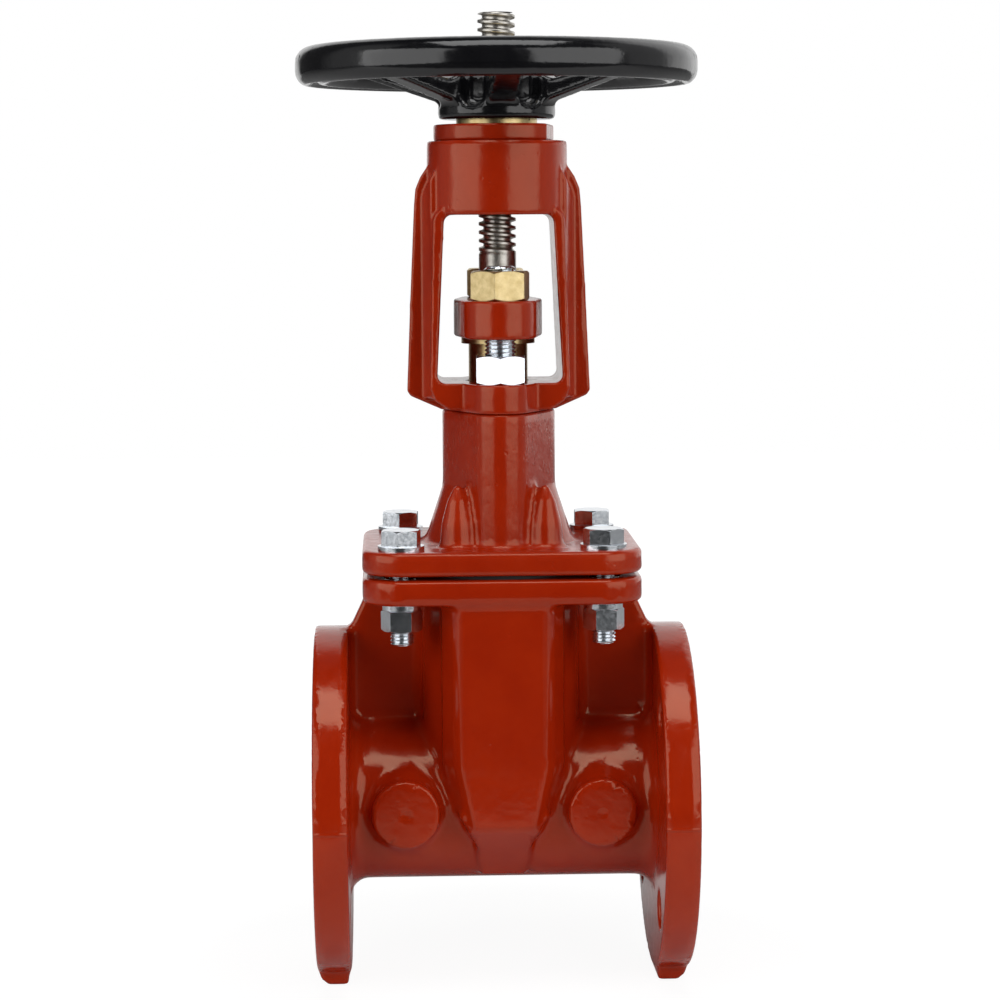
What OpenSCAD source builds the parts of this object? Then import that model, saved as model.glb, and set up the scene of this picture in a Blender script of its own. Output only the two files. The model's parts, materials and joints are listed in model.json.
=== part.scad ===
// Flanged gate valve with an outside screw and yoke, 2 1/2 in (DN 65).
// Frame: origin on the floor under the stem, x along the pipe, z up the stem,
// the side with the shown panel towards -y. All lengths are in millimetres.

/* [Pipe ends] */
// Bore of the waterway
bore_d = 65; // [50:1:68]
// Distance between the two flange faces
face_to_face = 190.5; // [184:0.5:240]
// Outside diameter of a pipe flange
flange_od = 177.8; // [170:0.1:184]
// Thickness of a pipe flange
flange_t = 17.5; // [14:0.5:20]
// Diameter of the circle the flange bolts stand on
bolt_circle = 139.7; // [130:0.1:148]
// Diameter of a flange bolt hole
bolt_hole_d = 19; // [16:0.5:21]
// Number of flange bolts
bolt_count = 4; // [4:4:8]
// Height of the pipe axis above the floor
axis_z = 92.5; // [92.5:0.5:110]
// Width of a cast foot across the pipe
foot_w = 52; // [30:1:80]
// Rounding of the outer edge of a pipe flange
flange_round = 1.5; // [0.5:0.5:4]

/* [Body] */
// Outside diameter of the pipe run
run_od = 83; // [78:1:92]
// Radius where the run spreads into the flange
run_fillet = 9; // [4:1:14]
// Half width of the wedge chamber along the pipe
chamber_x = 40; // [37:1:46]
// Half depth of the wedge chamber across the pipe
chamber_y = 52; // [50:1:56]
// Wall of the wedge chamber
wall = 8.5; // [6:0.5:12]
// Distance of the plain panel from the stem
panel_y = 57; // [55:0.5:62]
// Width of the plain panel
panel_w = 42.5; // [34:0.5:48]
// Width of the bevel round the plain panel
panel_bevel = 3.6; // [2:0.2:5]
// Thickness of the web between flange and chamber
web_t = 11; // [8:1:16]
// Distance of a drain boss from the stem
boss_x = 49.5; // [46:0.5:54]
// Diameter of a drain boss
boss_d = 34.5; // [28:0.5:38]
// Distance of a boss face from the pipe centre
boss_y = 50; // [47:0.5:54]

/* [Bonnet joint] */
// Height of the underside of the body flange
joint_z = 199.5; // [197:0.5:212]
// Thickness of the body flange
body_flange_t = 13; // [10:0.5:16]
// Thickness of the bonnet gasket
gasket_t = 1.8; // [1:0.1:3]
// Thickness of the bonnet flange
bonnet_flange_t = 12; // [9:0.5:16]
// Length of the joint flanges along the pipe
joint_x = 140; // [138:1:154]
// Length of the joint flanges across the pipe
joint_y = 118; // [116:1:128]
// Corner radius of the joint flanges
joint_r = 21; // [16:1:26]
// Bolt spacing along the pipe
bolt_x = 101; // [99:0.5:106]
// Bolt spacing across the pipe
bolt_y = 86; // [84:0.5:90]
// Diameter of the joint bolts
bolt_d = 12; // [10:1:12]

/* [Neck and yoke] */
// Radius of the neck around the stuffing box
neck_r = 28.8; // [27:0.1:33]
// Radius of the neck lobes that hold the gland studs
lobe_r = 14.5; // [13:0.5:17]
// Distance of a gland stud from the stem
stud_y = 32; // [31:0.5:36]
// Diameter of a gland stud
stud_d = 16; // [12:1:17]
// Height of the joint between neck and yoke
yoke_z = 293.5; // [286:0.5:300]
// Thickness of the yoke foot under the window
foot_h = 14.5; // [12:0.5:18]
// Height of the yoke window
window_h = 84; // [80:1:95]
// Height of the yoke collar
collar_h = 37; // [32:1:42]
// Diameter of the yoke collar
collar_d = 71; // [68:1:80]
// Depth of the yoke legs at the collar
leg_depth = 45; // [30:1:50]
// Thickness of the outer rib of a leg
rib_t = 15; // [8:1:20]

/* [Stem and wheel] */
// Outside diameter of the stem
stem_d = 19; // [16:0.5:20]
// Length of the stem that stands over the hub with the valve shut
stem_over = 53.5; // [50:0.5:70]
// Travel of the stem from shut to open
travel = 67.7; // [60:0.1:70]
// Outside diameter of the handwheel
wheel_d = 203; // [180:1:230]
// Height of the handwheel rim
rim_h = 20; // [17:0.5:22]
// Radial thickness of the handwheel rim
rim_t = 17.5; // [15:0.5:20]
// Height of the rim over the underside of the hub
rim_over = 16.5; // [14:0.5:20]
// Diameter of the wheel hub
hub_d = 59.4; // [56:0.2:64]
// Number of spokes
spokes = 6; // [5:1:6]
// Width of a spoke
spoke_w = 14; // [10:0.5:16]
// Angle that the wheel stands turned at
wheel_turn = 3.5; // [0:0.5:60]

/* [Hidden] */
$fn = 96;
eps = 0.5;
// fits: running fit, gap between loose pieces
fit = 0.05;
gap = 0.3;

run_r = run_od / 2;
flange_r = flange_od / 2;
half = face_to_face / 2;
inner = half - flange_t;
body_top = joint_z + body_flange_t;
bonnet_z = body_top + gasket_t;
bonnet_top = bonnet_z + bonnet_flange_t;
stem_r = stem_d / 2;

// joint bolts: sizes follow the thread
hole_r = bolt_d / 2 + 0.75;
head_af = bolt_d * 1.5;
head_h = bolt_d * 0.65;
nut_h = bolt_d * 0.9;
washer_r = bolt_d * 0.97;
washer_t = bolt_d * 0.19;
low_washer_r = bolt_d * 0.8;
low_washer_t = bolt_d * 0.25;
under_z = joint_z - low_washer_t;
bolt_end = under_z - nut_h - bolt_d * 0.6;

// wedge and its seats; a lip eases the mouth of the bore behind each seat
seat_r = bore_d / 2 + 2.5;
wedge_r = bore_d / 2 + 2;
lip_r = bore_d / 2 + 0.8;
seat_half = wedge_r / 2;
seat_taper = 0.042;
lip_x = seat_half + seat_r * seat_taper + 1.3;

// yoke levels
stud_r = stud_d / 2;
window_z = yoke_z + foot_h;
collar_z = window_z + window_h;
collar_top = collar_z + collar_h;
bearing_r = stem_r * 1.68;
thrust_r = stem_r * 2.4;
cap_h = 8.2;

// gland levels
follower_r = stem_r + 5.5;
follower_z = window_z + 19;
gland_z = follower_z + 3.5;
gland_t = 19;
gland_top = gland_z + gland_t;
stud_nut_h = stud_d * 0.88;
gland_nut_h = stud_d * 0.92;

// wheel levels
hub_z = collar_top + cap_h + 2.5;
hub_h = 23;
rim_z = hub_z + rim_over;
rim_c = wheel_d / 2 - rim_t / 2;
stem_top = hub_z + stem_over;

// colours
paint = [0.62, 0.17, 0.08];
zinc = [0.78, 0.80, 0.84];
brass = [0.76, 0.60, 0.32];
steel = [0.62, 0.60, 0.56];
black = [0.06, 0.06, 0.07];
rubber = [0.10, 0.10, 0.10];

// ---- outlines and basic shapes ----------------------------------------------

// rectangle with round corners, centred
module round_rect(x, y, r) {
  square([x - 2 * r, y], center = true);
  square([x, y - 2 * r], center = true);
  for (i = [-1, 1], j = [-1, 1])
    translate([i * (x / 2 - r), j * (y / 2 - r)]) circle(r);
}

// middle circle with a smaller circle on either side of it along y,
// joined by their straight tangents
module lobed(r1, r2, d) {
  a = asin((r1 - r2) / d);
  x1 = (r1 - 0.02) * cos(a);
  y1 = (r1 - 0.02) * sin(a);
  x2 = (r2 - 0.02) * cos(a);
  y2 = d + (r2 - 0.02) * sin(a);
  circle(r1);
  for (j = [-1, 1]) translate([0, j * d]) circle(r2);
  polygon([[x1, y1], [x2, y2], [-x2, y2], [-x1, y1],
           [-x1, -y1], [-x2, -y2], [x2, -y2], [x1, -y1]]);
}

// slot-shaped outline, long way along y
module slot2d(hx, hy) {
  square([2 * hx, 2 * (hy - hx)], center = true);
  for (j = [-1, 1]) translate([0, j * (hy - hx)]) circle(hx);
}

// a cylinder along x
module along_x(r, x0, x1) {
  translate([x0, 0, 0]) rotate([0, 90, 0]) cylinder(r = r, h = x1 - x0);
}

// front-view outline (x, z) pushed through from y0 to y1
module front_slab(y0, y1) {
  translate([0, y1, 0]) rotate([90, 0, 0]) linear_extrude(y1 - y0) children();
}

// disc with its two edges rounded to radius e
module soft_disc(r, h, e) {
  rotate_extrude() {
    square([r - e, h]);
    translate([0, e]) square([r, h - 2 * e]);
    for (z = [e, h - e]) translate([r - e, z]) circle(e);
  }
}

// hexagon standing on its corner-to-corner line, with chamfered corners
module hex_blank(af, h, top = true, bottom = true) {
  r = af / sqrt(3);
  c = (r - af / 2) * 0.55;
  intersection() {
    cylinder(r = r, h = h, $fn = 6);
    rotate_extrude() polygon([[0, 0], [bottom ? af / 2 : r + 1, 0], [r + 1, bottom ? c + 0.6 : 0],
      [r + 1, top ? h - c - 0.6 : h], [top ? af / 2 : r + 1, h], [0, h]]);
  }
}

module ring(r1, r0, h) {
  difference() {
    cylinder(r = r1, h = h);
    translate([0, 0, -eps]) cylinder(r = r0, h = h + 2 * eps);
  }
}

// ---- body ---------------------------------------------------------------------

// pipe flange with its cast foot, for the end at +x; the body casting carries on from its inner face
module pipe_flange() {
  translate([0, 0, axis_z]) difference() {
    union() {
      translate([inner, 0, 0]) rotate([0, 90, 0]) soft_disc(flange_r, flange_t, flange_round);
      translate([inner, foot_w / 2, -axis_z]) foot();
    }
    along_x(bore_d / 2, inner - eps, half + eps);
    for (i = [0 : bolt_count - 1]) rotate([(i + 0.5) * 360 / bolt_count, 0, 0])
      translate([0, bolt_circle / 2, 0]) along_x(bolt_hole_d / 2, inner - eps, half + eps);
  }
}

module left_flange() {
  color(paint) mirror([1, 0, 0]) pipe_flange();
}

module right_flange() {
  color(paint) pipe_flange();
}

module foot() {
  t = flange_t - flange_round;
  e = flange_round;
  rotate([90, 0, 0]) linear_extrude(foot_w)
    polygon([[e, 0.6], [e + 0.6, 0], [t - 4, 0], [t, 3.5], [t, 16], [e, 16]]);
}

// spread of the run towards the flange at +x
module run_spread() {
  translate([inner - run_fillet, 0, 0]) rotate([0, 90, 0]) rotate_extrude() difference() {
    square([run_r + run_fillet * 0.85, run_fillet]);
    translate([run_r + run_fillet, 0]) circle(run_fillet);
  }
}

// front outline that gives the chamber its shield-shaped lower end
module shield_outline() {
  x = chamber_x + 1;
  polygon([[-x, joint_z + 1], [-x, axis_z + 31], [-16, axis_z - 13], [16, axis_z - 13],
    [x, axis_z + 31], [x, joint_z + 1]]);
}

// outline of the plain panel, s widens it
module panel_outline(s) {
  h = panel_w / 2 + s;
  low = panel_w * 0.355 + s * 0.7;
  polygon([[-h, joint_z], [-h, axis_z + 24.5], [-low, axis_z - 5 - s], [low, axis_z - 5 - s],
    [h, axis_z + 24.5], [h, joint_z]]);
}

module chamber() {
  intersection() {
    translate([0, 0, axis_z - 14]) linear_extrude(joint_z - axis_z + 14)
      slot2d(chamber_x, chamber_y - 3);
    front_slab(-chamber_y - 1, chamber_y + 1) shield_outline();
  }
  for (j = [0, 1]) mirror([0, j, 0]) {
    hull() {
      front_slab(-panel_y, -panel_y + 0.6) panel_outline(0);
      front_slab(-panel_y + panel_bevel, -panel_y + panel_bevel + 1) panel_outline(panel_bevel);
    }
    hull() {
      front_slab(-panel_y + panel_bevel, -panel_y + panel_bevel + 1) panel_outline(panel_bevel);
      front_slab(-run_r, -run_r + 12) intersection() {
        panel_outline(panel_bevel * 2.6);
        shield_outline();
      }
    }
  }
}

module web() {
  gap = 0.15;
  r = run_fillet - gap;
  x = inner - run_fillet;
  z = axis_z + run_r + run_fillet;
  front_slab(-web_t / 2, web_t / 2) polygon(concat(
    [[chamber_x, z - r]],
    [for (a = [0 : 15 : 90]) [x + r * sin(a), z - r * cos(a)]],
    [[inner, z], [inner, axis_z + flange_r - flange_round], [joint_x / 2 - 1.5, joint_z],
      [chamber_x, joint_z]]));
}

module left_web() {
  color(paint) mirror([1, 0, 0]) web();
}

module right_web() {
  color(paint) web();
}

module boss() {
  r = boss_d / 2;
  rotate([-90, 0, 0]) difference() {
    union() {
      translate([0, 0, boss_y - 20]) soft_disc(r, 20, 1.2);
      cylinder(r = r, h = boss_y - 10);
      translate([0, 0, boss_y - 16]) cylinder(r1 = r + 6, r2 = r, h = 9);
      cylinder(r = r + 6, h = boss_y - 16);
    }
    translate([0, 0, boss_y + 1.2]) sphere(r = 3);
  }
}

// facet under each panel, sloping back into the underside of the run
module keel() {
  y = panel_y - panel_bevel;
  low = panel_w * 0.355;
  drop = run_r - 6;
  top = -5 - panel_bevel;
  intersection() {
    front_slab(-y, y) polygon([[-low - 8, 0], [-low, top], [-low * 0.72, -drop], [low * 0.72, -drop],
      [low, top], [low + 8, 0]]);
    rotate([90, 0, 90]) translate([0, 0, -chamber_x]) linear_extrude(2 * chamber_x)
      polygon([[-y, 0], [-y, top], [top + drop - y, -drop], [y - top - drop, -drop], [y, top], [y, 0]]);
  }
}

// space in which the wedge stands and slides: its seats close in downwards
module wedge_space() {
  low = seat_half - 50 * seat_taper;
  high = seat_half + 75 * seat_taper;
  translate([0, 0, axis_z]) intersection() {
    front_slab(-seat_r - 3, seat_r + 3)
      polygon([[-low - fit, -50], [low + fit, -50], [high + fit, 75], [-high - fit, 75]]);
    union() {
      along_x(seat_r, -30, 30);
      translate([-30, -seat_r - 1.5, 0]) cube([60, 2 * seat_r + 3, 75]);
    }
  }
  chamber_hollow(axis_z + 50, joint_z - axis_z - 50 + eps);
}

module chamber_hollow(z, h) {
  translate([0, 0, z]) linear_extrude(h) slot2d(chamber_x - wall, chamber_y - 3 - wall);
}

module joint_holes(z, h) {
  for (i = [-1, 1], j = [-1, 1]) translate([i * bolt_x / 2, j * bolt_y / 2, z])
    cylinder(r = hole_r, h = h);
}

// joint flange with its edges eased
module joint_plate(t) {
  e = 1.5;
  linear_extrude(t) round_rect(joint_x - 2 * e, joint_y - 2 * e, joint_r - e);
  translate([0, 0, e]) linear_extrude(t - 2 * e) round_rect(joint_x, joint_y, joint_r);
}

module body() {
  color(paint) difference() {
    union() {
      translate([0, 0, axis_z]) {
        run_spread();
        mirror([1, 0, 0]) run_spread();
        along_x(run_r, -inner, inner);
        keel();
      }
      chamber();
      for (i = [-1, 1], j = [0, 1]) translate([i * boss_x, 0, axis_z + 0.5])
        mirror([0, j, 0]) boss();
    }
    translate([0, 0, axis_z]) {
      along_x(bore_d / 2, -inner - eps, inner + eps);
      along_x(lip_r, -lip_x, lip_x);
    }
    wedge_space();
  }
}

// joint flange on top of the body casting
module body_flange() {
  color(paint) difference() {
    translate([0, 0, joint_z]) joint_plate(body_flange_t);
    chamber_hollow(joint_z - eps, body_flange_t + 2 * eps);
    joint_holes(joint_z - 1, body_flange_t + 2);
  }
}

// ---- bonnet -------------------------------------------------------------------

module bonnet_gasket() {
  color(rubber) translate([0, 0, body_top]) linear_extrude(gasket_t) difference() {
    slot2d(chamber_x + 3, chamber_y + 3);
    slot2d(chamber_x - wall, chamber_y - 3 - wall);
  }
}

// bullet-shaped corner gusset between neck and bonnet flange
module gusset(h) {
  r = neck_r * 0.325;
  rotate_extrude() polygon([[0, -eps], [r, -eps], [r * 0.89, h * 0.38], [r * 0.55, h * 0.77],
    [r * 0.16, h], [0, h]]);
}

module bonnet() {
  neck_h = yoke_z - bonnet_top;
  flare_h = neck_h * 0.43;
  cone_h = neck_h * 0.46;
  box_r = follower_r + fit;
  color(paint) difference() {
    union() {
      translate([0, 0, bonnet_z]) joint_plate(bonnet_flange_t);
      translate([0, 0, bonnet_top - eps]) linear_extrude(neck_h + eps)
        lobed(neck_r, lobe_r, stud_y);
      translate([0, 0, bonnet_top - eps])
        cylinder(r1 = neck_r + 9.5, r2 = neck_r - 0.2, h = flare_h + eps);
      translate([0, 0, bonnet_top - eps]) cylinder(r1 = neck_r + 12, r2 = neck_r + 8, h = 3.5);
      for (i = [-1, 1], j = [-1, 1]) translate([i * neck_r * 0.76, j * stud_y * 1.06, bonnet_top])
        gusset(cone_h);
    }
    // stem hole, stuffing box and the hollow over the wedge
    translate([0, 0, bonnet_z - 1]) cylinder(r = stem_r + 0.6, h = yoke_z);
    translate([0, 0, yoke_z - 27]) cylinder(r = box_r, h = 30);
    translate([0, 0, bonnet_z - eps]) cylinder(r = neck_r + 1.2, h = 6);
    translate([0, 0, bonnet_z + 5]) cylinder(r1 = neck_r + 1.2, r2 = neck_r / 2, h = 26);
    for (j = [-1, 1]) translate([0, j * stud_y, yoke_z - 24]) cylinder(r = stud_r + fit, h = 30);
    joint_holes(bonnet_z - 1, bonnet_flange_t + 2);
  }
}

// ---- joint bolts ----------------------------------------------------------------

// 1 and 2 stand at -x, 1 and 4 at the front
module at_bolt(n) {
  i = (n == 1 || n == 2) ? -1 : 1;
  j = (n == 1 || n == 4) ? -1 : 1;
  translate([i * bolt_x / 2, j * bolt_y / 2, 0]) children();
}

module bonnet_bolt(n) {
  turn = [12, 40, 22, -8][n - 1];
  head_z = bonnet_top + washer_t;
  color(zinc) at_bolt(n) {
    translate([0, 0, head_z]) rotate([0, 0, turn]) hex_blank(head_af, head_h, bottom = false);
    translate([0, 0, bolt_end + 1.5]) cylinder(r = bolt_d / 2, h = head_z - bolt_end);
    translate([0, 0, bolt_end]) cylinder(r1 = bolt_d / 2 - 1.5, r2 = bolt_d / 2, h = 1.5);
  }
}

module bolt_washer(n) {
  color(zinc) at_bolt(n) translate([0, 0, bonnet_top]) ring(washer_r, bolt_d / 2 + 0.25, washer_t);
}

module nut_washer(n) {
  color(zinc) at_bolt(n) translate([0, 0, under_z])
    ring(low_washer_r, bolt_d / 2 + 0.25, low_washer_t);
}

module bonnet_nut(n) {
  turn = [26, 10, 50, 34][n - 1];
  color(zinc) at_bolt(n) translate([0, 0, under_z - nut_h]) rotate([0, 0, turn]) difference() {
    hex_blank(head_af, nut_h);
    translate([0, 0, -eps]) cylinder(r = bolt_d / 2 + fit, h = nut_h + 2 * eps);
  }
}

// ---- yoke -----------------------------------------------------------------------

leg_in = collar_d * 0.48;
leg_out = collar_d * 0.655;
window_top = collar_d * 0.387;
window_low = collar_d * 0.441;

// inner bars of the legs with the cross bar under the window; their tops round into the collar
module frame_outline() {
  w = leg_in;
  r = 9;
  top = collar_z + 4.5;
  polygon([[-w + 1, top - r], [-w - 1, yoke_z + r + 3], [-w + r * 0.2, yoke_z + r * 0.4 + 2],
    [-w + r, yoke_z + 1], [w - r, yoke_z + 1], [w - r * 0.2, yoke_z + r * 0.4 + 2],
    [w + 1, yoke_z + r + 3], [w - 1, top - r], [w - 1 - r, top], [-w + 1 + r, top]]);
  for (i = [-1, 1]) translate([i * (w - 1 - r), top - r]) circle(r);
}

// front outline of the sloping cheeks: they run in to the collar at the rib tops
module cheek_outline() {
  polygon([[0, yoke_z + 6], [leg_in + 5, yoke_z + 6], [leg_in + 5, collar_z + 5],
    [leg_in + 2, collar_z + 14], [collar_d / 2 - 5, collar_z + 25], [0, collar_z + 25]]);
}

// outer ribs of the legs, one side; they spread downwards
module rib_outline() {
  polygon([[0, yoke_z], [neck_r, yoke_z], [leg_out - 1.8, yoke_z + 7], [leg_out, yoke_z + 9.5],
    [leg_out - 0.2, yoke_z + 14], [leg_out - 2, yoke_z + 56], [leg_out - 4.3, collar_z + 5],
    [leg_out - 5, collar_z + 13], [leg_out - 7.5, collar_z + 19], [collar_d / 2 - 0.5, collar_z + 25],
    [0, collar_z + 25]]);
}

module window_outline() {
  r = 4;
  x0 = window_low;
  x1 = window_top;
  for (i = [-1, 1]) {
    translate([i * (x0 - r), window_z + r]) circle(r);
    translate([i * (x1 - r), collar_z - r]) circle(r);
  }
  polygon([[-x0, window_z + r], [-x0 + r, window_z], [x0 - r, window_z], [x0, window_z + r],
    [x1, collar_z - r], [x1 - r, collar_z], [-x1 + r, collar_z], [-x1, collar_z - r]]);
}

module yoke_legs() {
  d = leg_depth / 2;
  // the inner bars grow deeper towards the foot
  intersection() {
    front_slab(-d - 10, d + 10) frame_outline();
    rotate([90, 0, 90]) translate([0, 0, -leg_out]) linear_extrude(2 * leg_out)
      polygon([[-d, collar_top], [-d, collar_z - 5], [-d - 6, window_z], [-d - 6, yoke_z],
        [d + 6, yoke_z], [d + 6, window_z], [d, collar_z - 5], [d, collar_top]]);
  }
  front_slab(-rib_t / 2, rib_t / 2) {
    rib_outline();
    mirror([1, 0]) rib_outline();
  }
  // sloping cheek between inner bar and rib
  for (i = [0, 1], j = [0, 1]) mirror([i, 0, 0]) mirror([0, j, 0]) intersection() {
    translate([0, 0, yoke_z + 6]) linear_extrude(collar_z - yoke_z + 19)
      polygon([[leg_in - 9, 0], [leg_in + 5, 0], [leg_in + 4, rib_t / 2],
        [leg_in, d - 5], [leg_in - 9, d - 5]]);
    front_slab(-d, d) cheek_outline();
  }
}

module yoke() {
  color(paint) difference() {
    union() {
      translate([0, 0, collar_z]) soft_disc(collar_d / 2, collar_h, 1.5);
      translate([0, 0, yoke_z]) linear_extrude(foot_h) lobed(neck_r, lobe_r + 0.3, stud_y);
      difference() {
        yoke_legs();
        front_slab(-60, 60) window_outline();
      }
    }
    // bearing for the stem nut and the counterbore over it
    translate([0, 0, collar_z - 5]) cylinder(r = bearing_r + fit, h = 60);
    translate([0, 0, collar_z + 14]) cylinder(r = thrust_r + fit, h = 60);
    // gland follower and studs
    translate([0, 0, yoke_z - 1]) cylinder(r = follower_r + gap, h = 30);
    for (j = [-1, 1]) translate([0, j * stud_y, yoke_z - 1]) cylinder(r = stud_r + 0.5, h = 20);
  }
}

module yoke_cap() {
  r = collar_d * 0.451;
  color(paint) translate([0, 0, collar_top]) difference() {
    soft_disc(r, cap_h, 1);
    translate([0, 0, -eps]) cylinder(r = thrust_r - 1.8, h = cap_h + 2 * eps);
    rotate([0, 0, -9]) translate([r * 0.85, -r, -eps]) cube([r, 2 * r, cap_h + 2 * eps]);
  }
}

// ---- gland ----------------------------------------------------------------------

module gland_packing() {
  color(rubber) translate([0, 0, yoke_z - 27]) ring(follower_r, stem_r + fit, 15);
}

module gland_follower() {
  color(brass) difference() {
    union() {
      translate([0, 0, yoke_z - 12]) cylinder(r = follower_r, h = follower_z - yoke_z + 12);
      translate([0, 0, follower_z]) cylinder(r = follower_r + 3.7, h = gland_z - follower_z);
    }
    translate([0, 0, yoke_z - 13]) cylinder(r = stem_r + fit, h = 80);
  }
}

module gland_flange() {
  color(paint) difference() {
    union() {
      translate([0, 0, gland_z + 1]) linear_extrude(gland_t - 1)
        lobed(follower_r + 7.5, follower_r + 3.3, stud_y - 2);
      translate([0, 0, gland_z]) linear_extrude(gland_t)
        lobed(follower_r + 6.5, follower_r + 2.3, stud_y - 2);
    }
    translate([0, 0, gland_z - 1]) cylinder(r = stem_r + 1, h = gland_t + 2);
    for (j = [-1, 1]) translate([0, j * stud_y, gland_z - 1])
      cylinder(r = stud_r + 0.6, h = gland_t + 2);
  }
}

module gland_stud(j) {
  foot = yoke_z - 24 + gap;
  top = gland_top + gland_nut_h + 1;
  color(zinc) translate([0, j * stud_y, 0]) {
    translate([0, 0, foot]) cylinder(r = stud_r, h = top - foot);
    translate([0, 0, top]) cylinder(r1 = stud_r, r2 = stud_r - 2, h = 1.5);
  }
}

module stud_nut(j) {
  color(zinc) translate([0, j * stud_y, window_z]) rotate([0, 0, 28]) difference() {
    hex_blank(stud_d * 1.5, stud_nut_h);
    translate([0, 0, -eps]) cylinder(r = stud_r + fit, h = stud_nut_h + 2 * eps);
  }
}

module gland_nut(j) {
  color(brass) translate([0, j * stud_y, gland_top]) rotate([0, 0, 18]) difference() {
    hex_blank(stud_d * 1.69, gland_nut_h);
    translate([0, 0, -eps]) cylinder(r = stud_r + fit, h = gland_nut_h + 2 * eps);
  }
}

// ---- stem, wedge and wheel --------------------------------------------------------

module stem_nut() {
  low = collar_z + 2;
  color(brass) difference() {
    union() {
      translate([0, 0, low]) cylinder(r = bearing_r, h = hub_z - low);
      translate([0, 0, collar_z + 14 + gap])
        cylinder(r = thrust_r, h = collar_top - collar_z - 14 - 2 * gap);
      translate([0, 0, collar_top - 1]) cylinder(r = thrust_r - 2.3, h = hub_z - collar_top + 1);
      translate([0, 0, hub_z - 1]) cylinder(r = bearing_r, h = hub_h + 14);
    }
    translate([0, 0, collar_z]) cylinder(r = stem_r + fit, h = 120);
  }
}

// rim with a shallow channel on its underside
module rim() {
  r = rim_h * 0.4;
  translate([0, 0, rim_z + rim_h / 2]) rotate_extrude() difference() {
    translate([rim_c, 0]) round_rect(rim_t, rim_h, r);
    translate([rim_c - 0.5, -rim_h / 2]) circle(3.5);
  }
}

// one spoke, rising from the hub into the rim, thick at the hub
module spoke() {
  x0 = hub_d * 0.3;
  x1 = hub_d / 2;
  x2 = rim_c - rim_t * 0.3;
  front_slab(-spoke_w / 2, spoke_w / 2)
    polygon([[x0, hub_z + 4], [x1 - 1, hub_z + 6.5], [x1 + 1, hub_z + 9],
      [x2 - 18, rim_z + 5], [x2, rim_z + 7.5], [x2, rim_z + rim_h - 4],
      [x1 + 4, hub_z + 20], [x0, hub_z + hub_h]]);
}

module handwheel() {
  valley = spoke_w / 2;
  hub_r = hub_d / 2;
  color(black) rotate([0, 0, wheel_turn]) difference() {
    union() {
      rim();
      for (k = [0 : spokes - 1]) rotate([0, 0, -90 + k * 360 / spokes]) spoke();
      difference() {
        translate([0, 0, hub_z]) soft_disc(hub_r, hub_h, 2.5);
        for (k = [0 : spokes - 1]) rotate([0, 0, -90 + (k + 0.5) * 360 / spokes])
          translate([0, 0, hub_z + 6.5 + valley]) {
            along_x(valley, hub_r - 8, hub_r + 10);
            translate([hub_r - 8, -valley, 0]) cube([18, 2 * valley, 20]);
          }
      }
    }
    translate([0, 0, hub_z - 1]) cylinder(r = bearing_r + fit, h = 40);
  }
}

module wheel_nut() {
  af = bearing_r * 2.65;
  color(brass) translate([0, 0, hub_z + hub_h]) difference() {
    hex_blank(af, 12);
    translate([0, 0, -eps]) cylinder(r = bearing_r + fit, h = 14);
  }
}

// the collar near the foot of the stem seats in the bonnet with the valve open
module stem() {
  foot = axis_z + 27;
  collar_low = bonnet_z - travel - 4;
  color(steel) {
    translate([0, 0, foot]) cylinder(r = stem_r, h = stem_top - foot - 1.2);
    translate([0, 0, stem_top - 1.2]) cylinder(r1 = stem_r, r2 = stem_r - 1.2, h = 1.2);
    translate([0, 0, collar_low]) cylinder(r = stem_r + 3.5, h = 5);
  }
}

module wedge() {
  low = seat_half - 40 * seat_taper - gap;
  high = seat_half + 32 * seat_taper - gap;
  color(rubber) translate([0, 0, axis_z]) difference() {
    intersection() {
      front_slab(-wedge_r, wedge_r)
        polygon([[-low, -40], [low, -40], [high, 32], [high, 38], [high - 4, 44],
          [-high + 4, 44], [-high, 38], [-high, 32]]);
      union() {
        along_x(wedge_r, -25, 25);
        translate([-25, -wedge_r, 0]) cube([50, 2 * wedge_r, 30]);
        translate([-25, -wedge_r * 0.75, 20]) cube([50, wedge_r * 1.5, 25]);
      }
    }
    translate([-13 - gap, -15 - gap, 24 - gap]) cube([26 + 2 * gap, 30 + 2 * gap, 12 + 2 * gap]);
    translate([0, 0, 22]) cylinder(r = stem_r + 0.5, h = 30);
  }
}

module wedge_nut() {
  color(brass) translate([0, 0, axis_z + 24]) difference() {
    translate([-13, -15, 0]) cube([26, 30, 12]);
    translate([0, 0, 3 - gap]) cylinder(r = stem_r + fit, h = 12);
  }
}

// ---- the valve ----------------------------------------------------------------------

body();
left_flange();
right_flange();
left_web();
right_web();
body_flange();
bonnet();
bonnet_gasket();
bonnet_bolt(1);  // bonnet_bolt_1
bonnet_bolt(2);  // bonnet_bolt_2
bonnet_bolt(3);  // bonnet_bolt_3
bonnet_bolt(4);  // bonnet_bolt_4
bolt_washer(1);  // bolt_washer_1
bolt_washer(2);  // bolt_washer_2
bolt_washer(3);  // bolt_washer_3
bolt_washer(4);  // bolt_washer_4
nut_washer(1);  // nut_washer_1
nut_washer(2);  // nut_washer_2
nut_washer(3);  // nut_washer_3
nut_washer(4);  // nut_washer_4
bonnet_nut(1);  // bonnet_nut_1
bonnet_nut(2);  // bonnet_nut_2
bonnet_nut(3);  // bonnet_nut_3
bonnet_nut(4);  // bonnet_nut_4
yoke();
gland_flange();
gland_follower();
gland_packing();
gland_stud(-1);  // gland_stud_front
gland_stud(1);  // gland_stud_back
stud_nut(-1);  // stud_nut_front
stud_nut(1);  // stud_nut_back
gland_nut(-1);  // gland_nut_front
gland_nut(1);  // gland_nut_back
yoke_cap();
stem_nut();
handwheel();
wheel_nut();
stem();
wedge();
wedge_nut();
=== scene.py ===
"""Flanged gate valve: castings with rounded edges, screw threads, finishes, light and camera."""

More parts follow.
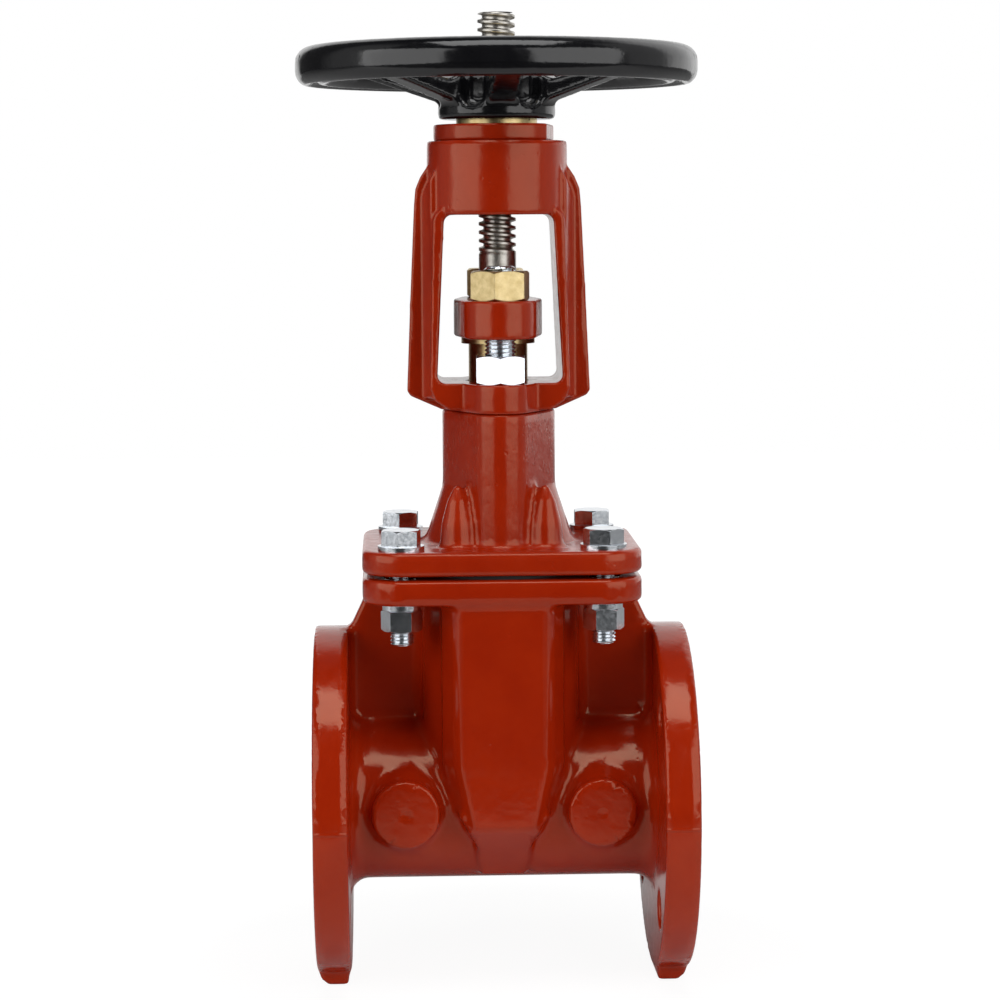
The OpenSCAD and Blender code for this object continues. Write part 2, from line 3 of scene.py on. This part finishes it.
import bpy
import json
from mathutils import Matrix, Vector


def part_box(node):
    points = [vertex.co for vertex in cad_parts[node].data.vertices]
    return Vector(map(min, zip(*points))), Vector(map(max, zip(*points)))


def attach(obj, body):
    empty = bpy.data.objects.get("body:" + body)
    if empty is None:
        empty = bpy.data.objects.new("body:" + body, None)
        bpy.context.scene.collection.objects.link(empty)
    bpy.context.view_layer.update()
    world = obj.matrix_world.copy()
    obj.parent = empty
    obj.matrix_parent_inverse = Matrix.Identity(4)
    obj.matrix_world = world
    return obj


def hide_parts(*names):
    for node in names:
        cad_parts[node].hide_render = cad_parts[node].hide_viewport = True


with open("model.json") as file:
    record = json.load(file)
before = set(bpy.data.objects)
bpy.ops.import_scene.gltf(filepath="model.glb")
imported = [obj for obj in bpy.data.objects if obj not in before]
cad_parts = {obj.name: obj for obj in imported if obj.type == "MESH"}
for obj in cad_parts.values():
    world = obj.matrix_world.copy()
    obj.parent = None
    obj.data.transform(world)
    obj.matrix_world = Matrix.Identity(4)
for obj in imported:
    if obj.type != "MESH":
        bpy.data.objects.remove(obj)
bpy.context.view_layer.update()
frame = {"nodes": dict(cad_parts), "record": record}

import json
import math

import bmesh
import bpy
import numpy as np
import openvdb
from mathutils import Matrix, Vector

MM = 0.001
SEGMENTS = 72  # sides of every round piece
THINNING = 0.04  # how far the castings' flat areas may take larger faces
nodes = frame["nodes"]


# ---- meshes -------------------------------------------------------------------

def node_arrays(node):
    """Points in millimetres and triangles of a CAD node."""
    mesh = nodes[node].data
    mesh.calc_loop_triangles()
    points = np.empty(len(mesh.vertices) * 3, np.float32)
    mesh.vertices.foreach_get("co", points)
    corners = np.empty(len(mesh.loop_triangles) * 3, np.int32)
    mesh.loop_triangles.foreach_get("vertices", corners)
    return points.reshape(-1, 3) / MM, corners.reshape(-1, 3).astype(np.uint32)


def new_piece(name, points_mm, faces, body, slot, material, replaced):
    """A mesh object from points in millimetres that rides on a body and replaces CAD nodes."""
    mesh = bpy.data.meshes.new(name)
    mesh.from_pydata((np.asarray(points_mm, float) * MM).tolist(), [], faces)
    mesh.validate()
    mesh.update()
    piece = bpy.data.objects.new(name, mesh)
    bpy.context.scene.collection.objects.link(piece)
    mesh.shade_smooth()
    mesh.materials.append(material)
    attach(piece, body)
    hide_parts(*replaced)
    return piece


def level_set(points, triangles, quads, voxel, reach):
    """A signed distance grid of the surface that holds for reach millimetres on both sides."""
    spare_cells = 2
    return openvdb.FloatGrid.createLevelSetFromPolygons(
        np.ascontiguousarray(points, np.float32),
        triangles=np.ascontiguousarray(triangles, np.uint32) if len(triangles) else None,
        quads=np.ascontiguousarray(quads, np.uint32) if len(quads) else None,
        transform=openvdb.createLinearTransform(voxelSize=voxel),
        halfWidth=reach / voxel + spare_cells,
    )


def grid_normals(grid, points, voxel):
    """Outward normals at the points, from the slope of the level set."""
    margin, step = 4, 0.75
    low = np.floor(points.min(0) / voxel).astype(int) - margin
    size = np.ceil(points.max(0) / voxel).astype(int) + margin + 1 - low
    field = np.zeros(size, np.float32)
    grid.copyToArray(field, ijk=tuple(int(v) for v in low))
    spot = points / voxel - low
    normals = np.zeros_like(points)
    for axis in range(3):
        for sign in (1, -1):
            at = spot.copy()
            at[:, axis] += sign * step
            base = np.floor(at).astype(int)
            part = at - base
            value = 0
            for i in (0, 1):
                for j in (0, 1):
                    for k in (0, 1):
                        weight = (
                            (part[:, 0] if i else 1 - part[:, 0])
                            * (part[:, 1] if j else 1 - part[:, 1])
                            * (part[:, 2] if k else 1 - part[:, 2])
                        )
                        cell = base + (i, j, k)
                        value = value + weight * field[tuple(cell.T)]
            normals[:, axis] += sign * value
    length = np.linalg.norm(normals, axis=1, keepdims=True)
    return normals / np.maximum(length, 1e-9)


def cast(name, sources, body, slot, material, voxel, fill, ease):
    """The sources as one casting: hollow corners filled to a radius, then sharp edges eased."""
    points, triangles, count = [], [], 0
    for node in sources:
        p, t = node_arrays(node)
        points.append(p)
        triangles.append(t + count)
        count += len(p)
    points, triangles = np.vstack(points), np.vstack(triangles).astype(np.uint32)
    quads = np.empty((0, 4), np.uint32)
    grid = level_set(points, triangles, quads, voxel, max(fill, ease))
    if fill:
        points, triangles, quads = grid.convertToPolygons(isovalue=fill, adaptivity=0)
        grid = level_set(points, triangles, quads, voxel, fill + ease)
    points, triangles, quads = grid.convertToPolygons(isovalue=-(fill + ease), adaptivity=0)
    grid = level_set(points, triangles, quads, voxel, ease)
    points, triangles, quads = grid.convertToPolygons(isovalue=ease, adaptivity=THINNING)
    normals = grid_normals(grid, points.astype(np.float64), voxel)
    faces = [list(f) for f in triangles.tolist()] + [list(f) for f in quads.tolist()]
    p = points.astype(np.float64)
    first = np.array([f[:3] for f in faces])
    facing = np.cross(p[first[:, 1]] - p[first[:, 0]], p[first[:, 2]] - p[first[:, 0]])
    if (facing * normals[first[:, 0]]).sum() < 0:
        faces = [f[::-1] for f in faces]
    piece = new_piece(name, points, faces, body, slot, material, sources)
    piece.data.normals_split_custom_set_from_vertices(normals.tolist())
    return piece


def screw(radius, depth, pitch, low, high, profile, point, left=False):
    """Points and faces of a threaded rod on the z axis, its groove fading out at the lower end.

    profile holds pairs: share of the pitch, share of the depth. point is the radius of the
    rounding at the upper end.
    """
    knots = len(profile)
    turns = int(math.ceil((high - low) / pitch)) + 2
    rows = turns * knots
    points = []
    for row in range(rows + 1):
        share, sink = profile[row % knots]
        for m in range(SEGMENTS):
            z = low - pitch + pitch * (row // knots + share + m / SEGMENTS)
            fade = min(max((z - low) / pitch, 0.0), 1.0)
            r = radius - sink * depth * fade
            z = min(max(z, low), high)
            if z > high - point:
                bulge = math.sqrt(max(point**2 - (z - high + point) ** 2, 0.0))
                r = min(r, radius - point + bulge)
            turn = 2 * math.pi * m / SEGMENTS * (-1 if left else 1)
            points.append((r * math.cos(turn), r * math.sin(turn), z))
    faces = []
    for row in range(rows - knots):
        for m in range(SEGMENTS):
            a, d = row * SEGMENTS + m, (row + 1) * SEGMENTS + m
            if m + 1 < SEGMENTS:
                b, c = a + 1, d + 1
            else:
                b, c = (row + knots) * SEGMENTS, (row + 1 + knots) * SEGMENTS
            faces.append([a, d, c, b] if left else [a, b, c, d])
    # flat ends
    for z, r, upper in ((low, radius, False), (high, radius - point, True)):
        middle = len(points)
        points.append((0, 0, z))
        for m in range(SEGMENTS):
            turn = 2 * math.pi * m / SEGMENTS
            points.append((r * math.cos(turn), r * math.sin(turn), z))
        for m in range(SEGMENTS):
            pair = [middle + 1 + m, middle + 1 + (m + 1) % SEGMENTS]
            faces.append([middle] + (pair if upper else pair[::-1]))
    return points, faces


def turned(outline):
    """Points and faces of a turned piece from (radius, z) pairs that start and end on the axis."""
    points, faces = [], []
    for r, z in outline:
        for m in range(SEGMENTS):
            turn = 2 * math.pi * m / SEGMENTS
            points.append((r * math.cos(turn), r * math.sin(turn), z))
    for row in range(len(outline) - 1):
        for m in range(SEGMENTS):
            a, b = row * SEGMENTS + m, row * SEGMENTS + (m + 1) % SEGMENTS
            faces.append([a, b, b + SEGMENTS, a + SEGMENTS])
    return points, faces


def joined(*shells):
    """Several (points, faces) shells as one."""
    points, faces = [], []
    for p, f in shells:
        start = len(points)
        points += [tuple(v) for v in p]
        faces += [[i + start for i in face] for face in f]
    return points, faces


def above(node, z, turn=0.0):
    """The part of a CAD node's surface at or over height z, turned by degrees about its axis."""
    slack = 0.02
    points, triangles = node_arrays(node)
    keep = (points[triangles][:, :, 2] >= z - slack).all(1)
    middle = (points.min(0) + points.max(0))[:2] / 2
    c, s = math.cos(math.radians(turn)), math.sin(math.radians(turn))
    x, y = (points[:, :2] - middle).T
    new_x = middle[0] + c * x - s * y
    new_y = middle[1] + s * x + c * y
    placed = np.column_stack((new_x, new_y, points[:, 2]))
    return [tuple(p) for p in placed.tolist()], triangles[keep].tolist()


def size_of(node):
    """Low and high corner of a CAD node, in millimetres."""
    low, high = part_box(node)
    return low / MM, high / MM


def axis_of(node):
    """The x and y of the middle of a CAD node, in millimetres."""
    low, high = size_of(node)
    return (low.x + high.x) / 2, (low.y + high.y) / 2


def tidy_mesh(piece, angle=35):
    """Merges doubled points and keeps edges sharper than the angle crisp."""
    mesh = piece.data
    bm = bmesh.new()
    bm.from_mesh(mesh)
    bmesh.ops.remove_doubles(bm, verts=bm.verts, dist=0.005 * MM)
    loose = [v for v in bm.verts if not v.link_faces]
    bmesh.ops.delete(bm, geom=loose, context="VERTS")
    bm.to_mesh(mesh)
    bm.free()
    mesh.set_sharp_from_angle(angle=math.radians(angle))


# ---- finishes -----------------------------------------------------------------

def maths(tree, operation, *terms):
    """The output of a maths node; a term is a socket or a number."""
    made = tree.nodes.new("ShaderNodeMath")
    made.operation = operation
    for spot, term in zip(made.inputs, terms):
        if isinstance(term, (int, float)):
            spot.default_value = term
        else:
            tree.links.new(term, spot)
    return made.outputs[0]


def map_range(tree, value, low, high, out_low, out_high):
    """The value as a share of the way from low to high, spread over the output range."""
    made = tree.nodes.new("ShaderNodeMapRange")
    limits = {"From Min": low, "From Max": high, "To Min": out_low, "To Max": out_high}
    for key, number in limits.items():
        made.inputs[key].default_value = number
    tree.links.new(value, made.inputs["Value"])
    return made.outputs["Result"]


class Finish:
    """A node material made step by step, in object coordinates."""

    def __init__(self, name):
        self.material = bpy.data.materials.new(name)
        self.material.use_nodes = True
        self.tree = self.material.node_tree
        self.shader = self.tree.nodes["Principled BSDF"]
        self.place = self.tree.nodes.new("ShaderNodeTexCoord").outputs["Object"]
        self.normal = None

    def link(self, a, b):
        self.tree.links.new(a, b)

    def node(self, kind, **settings):
        """A new node with these settings."""
        made = self.tree.nodes.new(kind)
        for key, value in settings.items():
            setattr(made, key, value)
        return made

    def noise(self, size_mm, detail, rough, stretch=None):
        """Soft noise of this size, perhaps stretched along an axis."""
        made = self.node("ShaderNodeTexNoise")
        made.inputs["Scale"].default_value = 1 / (size_mm * MM)
        made.inputs["Detail"].default_value = detail
        made.inputs["Roughness"].default_value = rough
        place = self.place
        if stretch is not None:
            mapping = self.node("ShaderNodeMapping")
            mapping.inputs["Scale"].default_value = stretch
            self.link(self.place, mapping.inputs["Vector"])
            place = mapping.outputs["Vector"]
        self.link(place, made.inputs["Vector"])
        return made.outputs["Fac"]

    def cells(self, size_mm):
        """The distance to the nearest of scattered points."""
        made = self.node("ShaderNodeTexVoronoi")
        made.inputs["Scale"].default_value = 1 / (size_mm * MM)
        self.link(self.place, made.inputs["Vector"])
        return made.outputs["Distance"]

    def band(self, value, low, high, out_low=0.0, out_high=1.0):
        return map_range(self.tree, value, low, high, out_low, out_high)

    def sum_of(self, operation, *terms):
        return maths(self.tree, operation, *terms)

    def times(self, a, b):
        return self.sum_of("MULTIPLY", a, b)

    def axes(self):
        """The x, y and z of the surface point, in metres."""
        made = self.node("ShaderNodeSeparateXYZ")
        self.link(self.place, made.inputs[0])
        return made.outputs

    def colours(self, share, first, second):
        """A mix of two colours; each is a tuple or a socket."""
        made = self.node("ShaderNodeMix", data_type="RGBA")
        self.link(share, made.inputs["Factor"])
        for key, colour in ((6, first), (7, second)):
            if isinstance(colour, tuple):
                made.inputs[key].default_value = (*colour, 1)
            else:
                self.link(colour, made.inputs[key])
        return made.outputs[2]

    def edges(self, radius_mm):
        """Rounds the edges' shading."""
        made = self.node("ShaderNodeBevel")
        made.samples = 4
        made.inputs["Radius"].default_value = radius_mm * MM
        self.normal = made.outputs["Normal"]

    def bump(self, height, depth_mm):
        """Relief by the height, on top of the relief made before."""
        made = self.node("ShaderNodeBump")
        made.inputs["Distance"].default_value = depth_mm * MM
        made.inputs["Strength"].default_value = 1.0
        self.link(height, made.inputs["Height"])
        if self.normal is not None:
            self.link(self.normal, made.inputs["Normal"])
        self.normal = made.outputs["Normal"]

    def done(self, colour, rough, metallic=0.0, specular=0.5):
        """The material, with a colour and a roughness that are plain or sockets."""
        if isinstance(colour, tuple):
            self.shader.inputs["Base Color"].default_value = (*colour, 1)
        else:
            self.link(colour, self.shader.inputs["Base Color"])
        if isinstance(rough, float):
            self.shader.inputs["Roughness"].default_value = rough
        else:
            self.link(rough, self.shader.inputs["Roughness"])
        self.shader.inputs["Metallic"].default_value = metallic
        self.shader.inputs["Specular IOR Level"].default_value = specular
        if self.normal is not None:
            self.link(self.normal, self.shader.inputs["Normal"])
        return self.material


def enamel(name, deep, bright, wave_mm, peel_mm, pit_mm, rough=(0.16, 0.25), extra=None,
           shine=(1, 1, 1)):
    """Glossy paint over a sand casting: waves of the casting, orange peel and a few pits.

    extra adds marks of its own, and shine tints the reflections.
    """
    f = Finish(name)
    tone = f.band(f.noise(26, 3, 0.6), 0.35, 0.68)
    colour = f.colours(tone, deep, bright)
    f.bump(f.noise(15, 2, 0.45), wave_mm)
    f.bump(f.noise(3.0, 2, 0.5), peel_mm)
    pits = f.band(f.cells(3.4), 0.10, 0.30)
    spread = f.band(f.noise(9, 2, 0.6), 0.54, 0.66)
    surface = f.node("ShaderNodeMix", data_type="FLOAT")
    f.link(spread, surface.inputs["Factor"])
    surface.inputs[2].default_value = 1.0
    f.link(pits, surface.inputs[3])
    f.bump(surface.outputs[0], pit_mm)
    if extra:
        extra(f)
    gloss = f.band(f.noise(5, 3, 0.6), 0.3, 0.7, *rough)
    f.shader.inputs["Specular Tint"].default_value = (*shine, 1)
    return f.done(colour, gloss)


def body_marks(f):
    """Parting line round the pipe flanges and a centre mark on each drain boss."""
    x, y, z = f.axes()
    off = f.sum_of("ABSOLUTE", f.sum_of("SUBTRACT", z, PIPE_AXIS))
    ridge = f.band(off, 0.0003, 0.0010, 1.0, 0.0)
    on_rim = f.band(f.sum_of("ABSOLUTE", y), RIM_RADIUS - 0.003, RIM_RADIUS - 0.001)
    f.bump(f.times(ridge, on_rim), 0.30)
    spot = f.node("ShaderNodeCombineXYZ")
    for axis, value in enumerate((x, y, z)):
        f.link(f.sum_of("ABSOLUTE", value), spot.inputs[axis])
    away = f.node("ShaderNodeVectorMath", operation="DISTANCE")
    f.link(spot.outputs[0], away.inputs[0])
    away.inputs[1].default_value = BOSS_MARK
    f.bump(f.band(away.outputs["Value"], 0.0008, 0.0032), 0.4)


def neck_marks(f):
    """Short runs in the paint on the flat cheeks of the neck."""
    x, y, z = f.axes()
    parts = [f.times(f.sum_of("ABSOLUTE", v), share) for v, share in zip((x, y), CHEEK_NORMAL)]
    cheek = f.band(f.sum_of("ADD", *parts), 0.0278, 0.0285)
    high = f.band(z, RUNS_LOW, RUNS_LOW + 0.006)
    marks = f.band(f.noise(1.0, 1, 0.4, (0.9, 0.9, 0.22)), 0.60, 0.70)
    patches = f.band(f.noise(14, 1, 0.5), 0.42, 0.55)
    f.bump(f.times(f.times(marks, patches), f.times(cheek, high)), 0.16)


def plated(name, dark, light, rough, edge=0.25, scratch=0.004, grain=(1, 1, 1), pits=0.0):
    """Bare or plated metal: fine scratches, stains, eased edges and perhaps casting pits."""
    f = Finish(name)
    f.edges(edge)
    stain = f.band(f.noise(3.2, 4, 0.65), 0.34, 0.66)
    colour = f.colours(stain, dark, light)
    f.bump(f.noise(0.55, 3, 0.7, grain), scratch)
    f.bump(f.noise(2.4, 2, 0.5), scratch * 2.5)
    if pits:
        hole = f.band(f.cells(4.6), 0.07, 0.13)
        f.bump(hole, pits)
        colour = f.colours(hole, tuple(v * 0.25 for v in dark), colour)
    gloss = f.band(f.noise(1.6, 3, 0.6), 0.3, 0.7, *rough)
    return f.done(colour, gloss, 1.0)


def rubber_finish():
    """Matt black rubber with a fine grain."""
    f = Finish("black_rubber")
    f.bump(f.noise(0.8, 3, 0.6), 0.02)
    return f.done((0.012, 0.012, 0.013), 0.6)


# places that the marks in the paint need, in metres
flange_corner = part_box("right_flange")[1]
RIM_RADIUS = flange_corner.y
PIPE_AXIS = flange_corner.z - RIM_RADIUS
BOSS_MARK = (0.0495, 0.0512, PIPE_AXIS + 0.0005)
RUNS_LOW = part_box("bonnet")[1].z - 0.040
CHEEK_NORMAL = (0.895, 0.446)

RED_DEEP = (0.330, 0.0150, 0.0014)
RED_BRIGHT = (0.368, 0.0190, 0.0018)
RED_SHINE = (1.0, 0.76, 0.52)
reds = (RED_DEEP, RED_BRIGHT)
body_paint = enamel("body_enamel", *reds, 0.28, 0.060, 0.05, (0.11, 0.18), body_marks, RED_SHINE)
red_paint = enamel("red_enamel", *reds, 0.30, 0.075, 0.09, shine=RED_SHINE)
neck_paint = enamel("neck_enamel", *reds, 0.26, 0.070, 0.09, extra=neck_marks, shine=RED_SHINE)
blacks = ((0.004, 0.004, 0.005), (0.006, 0.006, 0.007))
black_paint = enamel("black_enamel", *blacks, 0.16, 0.025, 0.03, (0.10, 0.18))
zincs = ((0.62, 0.66, 0.70), (0.80, 0.83, 0.87))
zinc = plated("zinc_plating", *zincs, (0.14, 0.24), scratch=0.0016)
steels = ((0.33, 0.31, 0.28), (0.53, 0.51, 0.47))
turning_lines = (0.2, 0.2, 4)
steel = plated("turned_steel", *steels, (0.28, 0.42), edge=0.3, scratch=0.003, grain=turning_lines)
brasses = ((0.45, 0.34, 0.155), (0.64, 0.51, 0.27))
brass = plated("cast_brass", *brasses, (0.28, 0.42), edge=0.6, scratch=0.006, pits=0.12)
rubber = rubber_finish()


# ---- the castings ---------------------------------------------------------------

BODY_NODES = ["body", "left_flange", "right_flange", "left_web", "right_web", "body_flange"]

# piece, CAD nodes, body, slot, finish, then in millimetres: voxel, fill of corners, ease of edges
CASTINGS = [
    ("body_casting", BODY_NODES, "valve", "body_paint", body_paint, 0.9, 4.0, 1.3),
    ("bonnet_casting", ["bonnet"], "valve", "red_paint", neck_paint, 0.7, 2.4, 1.2),
    ("yoke_casting", ["yoke"], "valve", "red_paint", red_paint, 0.5, 0.9, 0.75),
    ("gland_casting", ["gland_flange"], "valve", "red_paint", red_paint, 0.4, 2.0, 1.0),
    ("cap_casting", ["yoke_cap"], "valve", "red_paint", red_paint, 0.4, 0.0, 0.7),
    ("wheel_casting", ["handwheel"], "wheel", "black_paint", black_paint, 0.6, 3.0, 1.6),
]
for casting in CASTINGS:
    cast(*casting)

# ---- stem, studs and joint bolts ---------------------------------------------------

STEM_PROFILE = [(0.0, 0.0), (0.24, 0.0), (0.30, 0.08), (0.40, 0.76), (0.48, 0.96), (0.62, 1.0),
                (0.76, 0.96), (0.84, 0.76), (0.94, 0.08)]
METRIC = [(0.0, 0.0), (0.12, 0.0), (0.44, 0.92), (0.50, 1.0), (0.56, 1.0), (0.62, 0.92)]


def stem_screw():
    """The stem: plain shank, collar and coarse left-hand screw."""
    radius, foot_ease = 9.5, 0.6
    thread_depth, thread_pitch, thread_low, top_rounding = 2.4, 4.233, 372.0, 1.2
    overlap = 0.2
    low, high = size_of("stem")
    shank_top = thread_low + overlap
    shank = turned([
        (0.0, low.z), (radius - foot_ease, low.z), (radius, low.z + foot_ease),
        (radius, shank_top), (0.0, shank_top)])
    points, _ = node_arrays("stem")
    wide = points[np.hypot(points[:, 0], points[:, 1]) > radius + 1]
    collar_radius, collar_low, collar_high = wide[:, 0].max(), wide[:, 2].min(), wide[:, 2].max()
    collar = turned([
        (0.0, collar_low), (collar_radius, collar_low),
        (collar_radius, collar_high), (0.0, collar_high)])
    thread = screw(radius, thread_depth, thread_pitch, thread_low, high.z, STEM_PROFILE,
                   top_rounding, left=True)
    shell = joined(shank, collar, thread)
    tidy_mesh(new_piece("stem_screw", *shell, "rising_stem", "stainless_steel", steel, ["stem"]))


def gland_stud(side):
    """A gland stud with its thread and domed end."""
    thread_depth, thread_pitch, dome = 1.1, 2.0, 2.4
    node = f"gland_stud_{side}"
    low, high = size_of(node)
    x, y = axis_of(node)
    points, faces = screw((high.x - low.x) / 2, thread_depth, thread_pitch, low.z, high.z,
                          METRIC, dome)
    points = [(p[0] + x, p[1] + y, p[2]) for p in points]
    name = f"gland_stud_thread_{side}"
    tidy_mesh(new_piece(name, points, faces, "valve", "zinc_plate", zinc, [node]))


def joint_bolt(n, head_turn, nut_turn):
    """A joint bolt with its thread and its head, and its nut."""
    radius, thread_depth, thread_pitch, end_rounding = 6.0, 0.95, 1.75, 1.3
    overlap, sharp_angle = 0.5, 25
    node = f"bonnet_bolt_{n}"
    low, _ = size_of(node)
    head_low = size_of(f"bolt_washer_{n}")[1].z
    x, y = axis_of(f"bolt_washer_{n}")
    # the screw is made upside down, so that its point faces the floor
    points, faces = screw(radius, thread_depth, thread_pitch, -head_low - overlap, -low.z,
                          METRIC, end_rounding)
    points = [(p[0] + x, -p[1] + y, -p[2]) for p in points]
    shell = joined((points, faces), above(node, head_low, head_turn))
    bolt = new_piece(f"joint_bolt_{n}", *shell, "valve", "zinc_plate", zinc, [node])
    tidy_mesh(bolt, sharp_angle)
    node = f"bonnet_nut_{n}"
    shell = above(node, size_of(node)[0].z, nut_turn)
    nut = new_piece(f"joint_nut_{n}", *shell, "valve", "zinc_plate", zinc, [node])
    tidy_mesh(nut, sharp_angle)


# how far each joint bolt's head and nut are tightened past the solids' own turn, in degrees
HEAD_TURNS = (7, -14, 7, 53)
NUT_TURNS = (-29, 0, 0, -29)

stem_screw()
for side in ("front", "back"):
    gland_stud(side)
for n, head_turn, nut_turn in zip((1, 2, 3, 4), HEAD_TURNS, NUT_TURNS):
    joint_bolt(n, head_turn, nut_turn)

FINISHES = {"zinc_plate": zinc, "brass": brass, "rubber": rubber, "stainless_steel": steel,
            "red_paint": red_paint, "body_paint": body_paint, "black_paint": black_paint}
for part in frame["record"]["subparts"]:
    mesh = nodes[part["node"]].data
    mesh.materials.clear()
    mesh.materials.append(FINISHES[part["material_slot"]])

# ---- light, floor and camera --------------------------------------------------------

scene = bpy.context.scene
scene.view_settings.view_transform = "Standard"

CAMERA_AT = Vector((-52.43, -1423.35, 396.53)) * MM
YAW, PITCH, ROLL = 0.0372, 0.1051, -0.0061
LENS, SENSOR = 100.50372, 36
forward = Vector((
    math.sin(YAW) * math.cos(PITCH),
    math.cos(YAW) * math.cos(PITCH),
    -math.sin(PITCH)))
level_right = Vector((math.cos(YAW), -math.sin(YAW), 0))
level_up = level_right.cross(forward)
right = math.cos(ROLL) * level_right + math.sin(ROLL) * level_up
up = -math.sin(ROLL) * level_right + math.cos(ROLL) * level_up
camera = bpy.data.objects.new("camera", bpy.data.cameras.new("camera"))
camera.data.lens = LENS
camera.data.sensor_width = SENSOR
camera.matrix_world = Matrix((
    (right.x, up.x, -forward.x, CAMERA_AT.x),
    (right.y, up.y, -forward.y, CAMERA_AT.y),
    (right.z, up.z, -forward.z, CAMERA_AT.z),
    (0, 0, 0, 1)))
scene.collection.objects.link(camera)
scene.camera = camera


def softbox(name, place, target, width, height, power):
    """A rectangular lamp that faces the target."""
    lamp = bpy.data.lights.new(name, "AREA")
    lamp.shape = "RECTANGLE"
    lamp.size, lamp.size_y = width, height
    lamp.energy = power
    made = bpy.data.objects.new(name, lamp)
    made.location = place
    made.rotation_euler = (Vector(target) - Vector(place)).to_track_quat("-Z", "Y").to_euler()
    scene.collection.objects.link(made)


SIDE_POWER, TOP_POWER = 12.8, 10.4
softbox("softbox_left", (-1.245, -0.845, 0.70), (0, 0, 0.30), 1.52, 1.25, SIDE_POWER)
softbox("softbox_right", (1.042, -1.085, 0.70), (0, 0, 0.30), 1.52, 1.25, SIDE_POWER)
softbox("softbox_top", (0.0, -0.48, 1.60), (0, 0, 0.25), 1.1, 0.8, TOP_POWER)

# brightness of the studio by the direction's angle from the camera's side, left to right
STUDIO = [(-180, 1.0), (-158, 1.0), (-152, 0.05), (-120, 0.05), (-106, 0.32), (-80, 0.45),
          (-70, 0.04), (70, 0.04), (80, 0.5), (108, 0.5), (116, 1.35), (150, 1.35), (156, 1.0),
          (180, 1.0)]
# towards the zenith, from the first height to the second, the studio fades to this share
CEILING_FROM, CEILING_TO, CEILING_SHARE = 0.72, 0.86, 0.12
# how much of the studio's brightness lights matt surfaces
DIFFUSE_SHARE = 0.40


def background():
    """White for the camera; for all else a white backdrop behind and dark walls in front."""
    world = bpy.data.worlds.new("studio")
    world.use_nodes = True
    tree = world.node_tree
    tree.nodes.clear()

    rays = tree.nodes.new("ShaderNodeLightPath").outputs
    split = tree.nodes.new("ShaderNodeSeparateXYZ")
    tree.links.new(tree.nodes.new("ShaderNodeTexCoord").outputs["Generated"], split.inputs[0])
    x, y, z = split.outputs
    turn = maths(tree, "ARCTAN2", x, maths(tree, "MULTIPLY", y, -1.0))
    share = maths(tree, "MULTIPLY_ADD", turn, 0.5 / math.pi, 0.5)
    ramp = tree.nodes.new("ShaderNodeValToRGB")
    stops = ramp.color_ramp.elements
    stops[0].position, stops[-1].position = 0, 1
    for angle, level in STUDIO:
        place = angle / 360 + 0.5
        stop = stops[0] if place == 0 else stops[-1] if place == 1 else stops.new(place)
        stop.color = (level, level, level, 1)
    tree.links.new(share, ramp.inputs[0])
    height = map_range(tree, z, CEILING_FROM, CEILING_TO, 1.0, CEILING_SHARE)
    level = maths(tree, "MULTIPLY", ramp.outputs[0], height)
    kept = maths(tree, "MAXIMUM", rays["Is Glossy Ray"], DIFFUSE_SHARE)
    level = maths(tree, "MAXIMUM", maths(tree, "MULTIPLY", level, kept), rays["Is Camera Ray"])
    glow = tree.nodes.new("ShaderNodeBackground")
    tree.links.new(level, glow.inputs["Strength"])
    glow.inputs["Color"].default_value = (1, 1, 1, 1)
    out = tree.nodes.new("ShaderNodeOutputWorld")
    tree.links.new(glow.outputs[0], out.inputs["Surface"])
    scene.world = world


background()


FLOOR = 3.0  # half the floor's width, in metres
FLOOR_GAP = 0.0002  # how far it lies below the object
FLOOR_GLOW = 1.08  # its brightness to the camera


def floor_finish():
    """Pale floor that looks white to the camera and keeps a faint shadow near the object.

    More than 0.42 m in front of the object its colour is painted dark: painted shade for the unlit
    front of the studio, seen in reflections and bounced light, not by the camera.
    """
    f = Finish("pale_floor")
    f.done((0.86, 0.86, 0.86), 0.6, specular=0.2)
    pale = f.band(f.noise(180, 2, 0.5), 0.3, 0.7, 0.84, 0.88)
    # painted shade: from 0.42 to 0.50 m in front the floor's colour drops to a twentieth, a dark
    # sheet standing for the unlit studio front
    painted_front_shade = f.band(f.axes()[1], -0.50, -0.42, 0.05, 1.0)
    f.link(f.times(pale, painted_front_shade), f.shader.inputs["Base Color"])
    glow = f.node("ShaderNodeEmission")
    glow.inputs["Strength"].default_value = FLOOR_GLOW
    length = f.node("ShaderNodeVectorMath", operation="LENGTH")
    f.link(f.place, length.inputs[0])
    near = f.band(length.outputs["Value"], 0.16, 0.36, 0.86, 1.0)
    rays = f.node("ShaderNodeLightPath")
    mix = f.node("ShaderNodeMixShader")
    f.link(f.times(rays.outputs["Is Camera Ray"], near), mix.inputs[0])
    f.link(f.shader.outputs[0], mix.inputs[1])
    f.link(glow.outputs[0], mix.inputs[2])
    f.link(mix.outputs[0], f.tree.nodes["Material Output"].inputs["Surface"])
    return f.material


corners = [(-FLOOR, -FLOOR, 0), (FLOOR, -FLOOR, 0), (FLOOR, FLOOR, 0), (-FLOOR, FLOOR, 0)]
mesh = bpy.data.meshes.new("floor")
mesh.from_pydata(corners, [], [(0, 1, 2, 3)])
floor = bpy.data.objects.new("floor", mesh)
floor.location.z = -FLOOR_GAP
scene.collection.objects.link(floor)
mesh.materials.append(floor_finish())
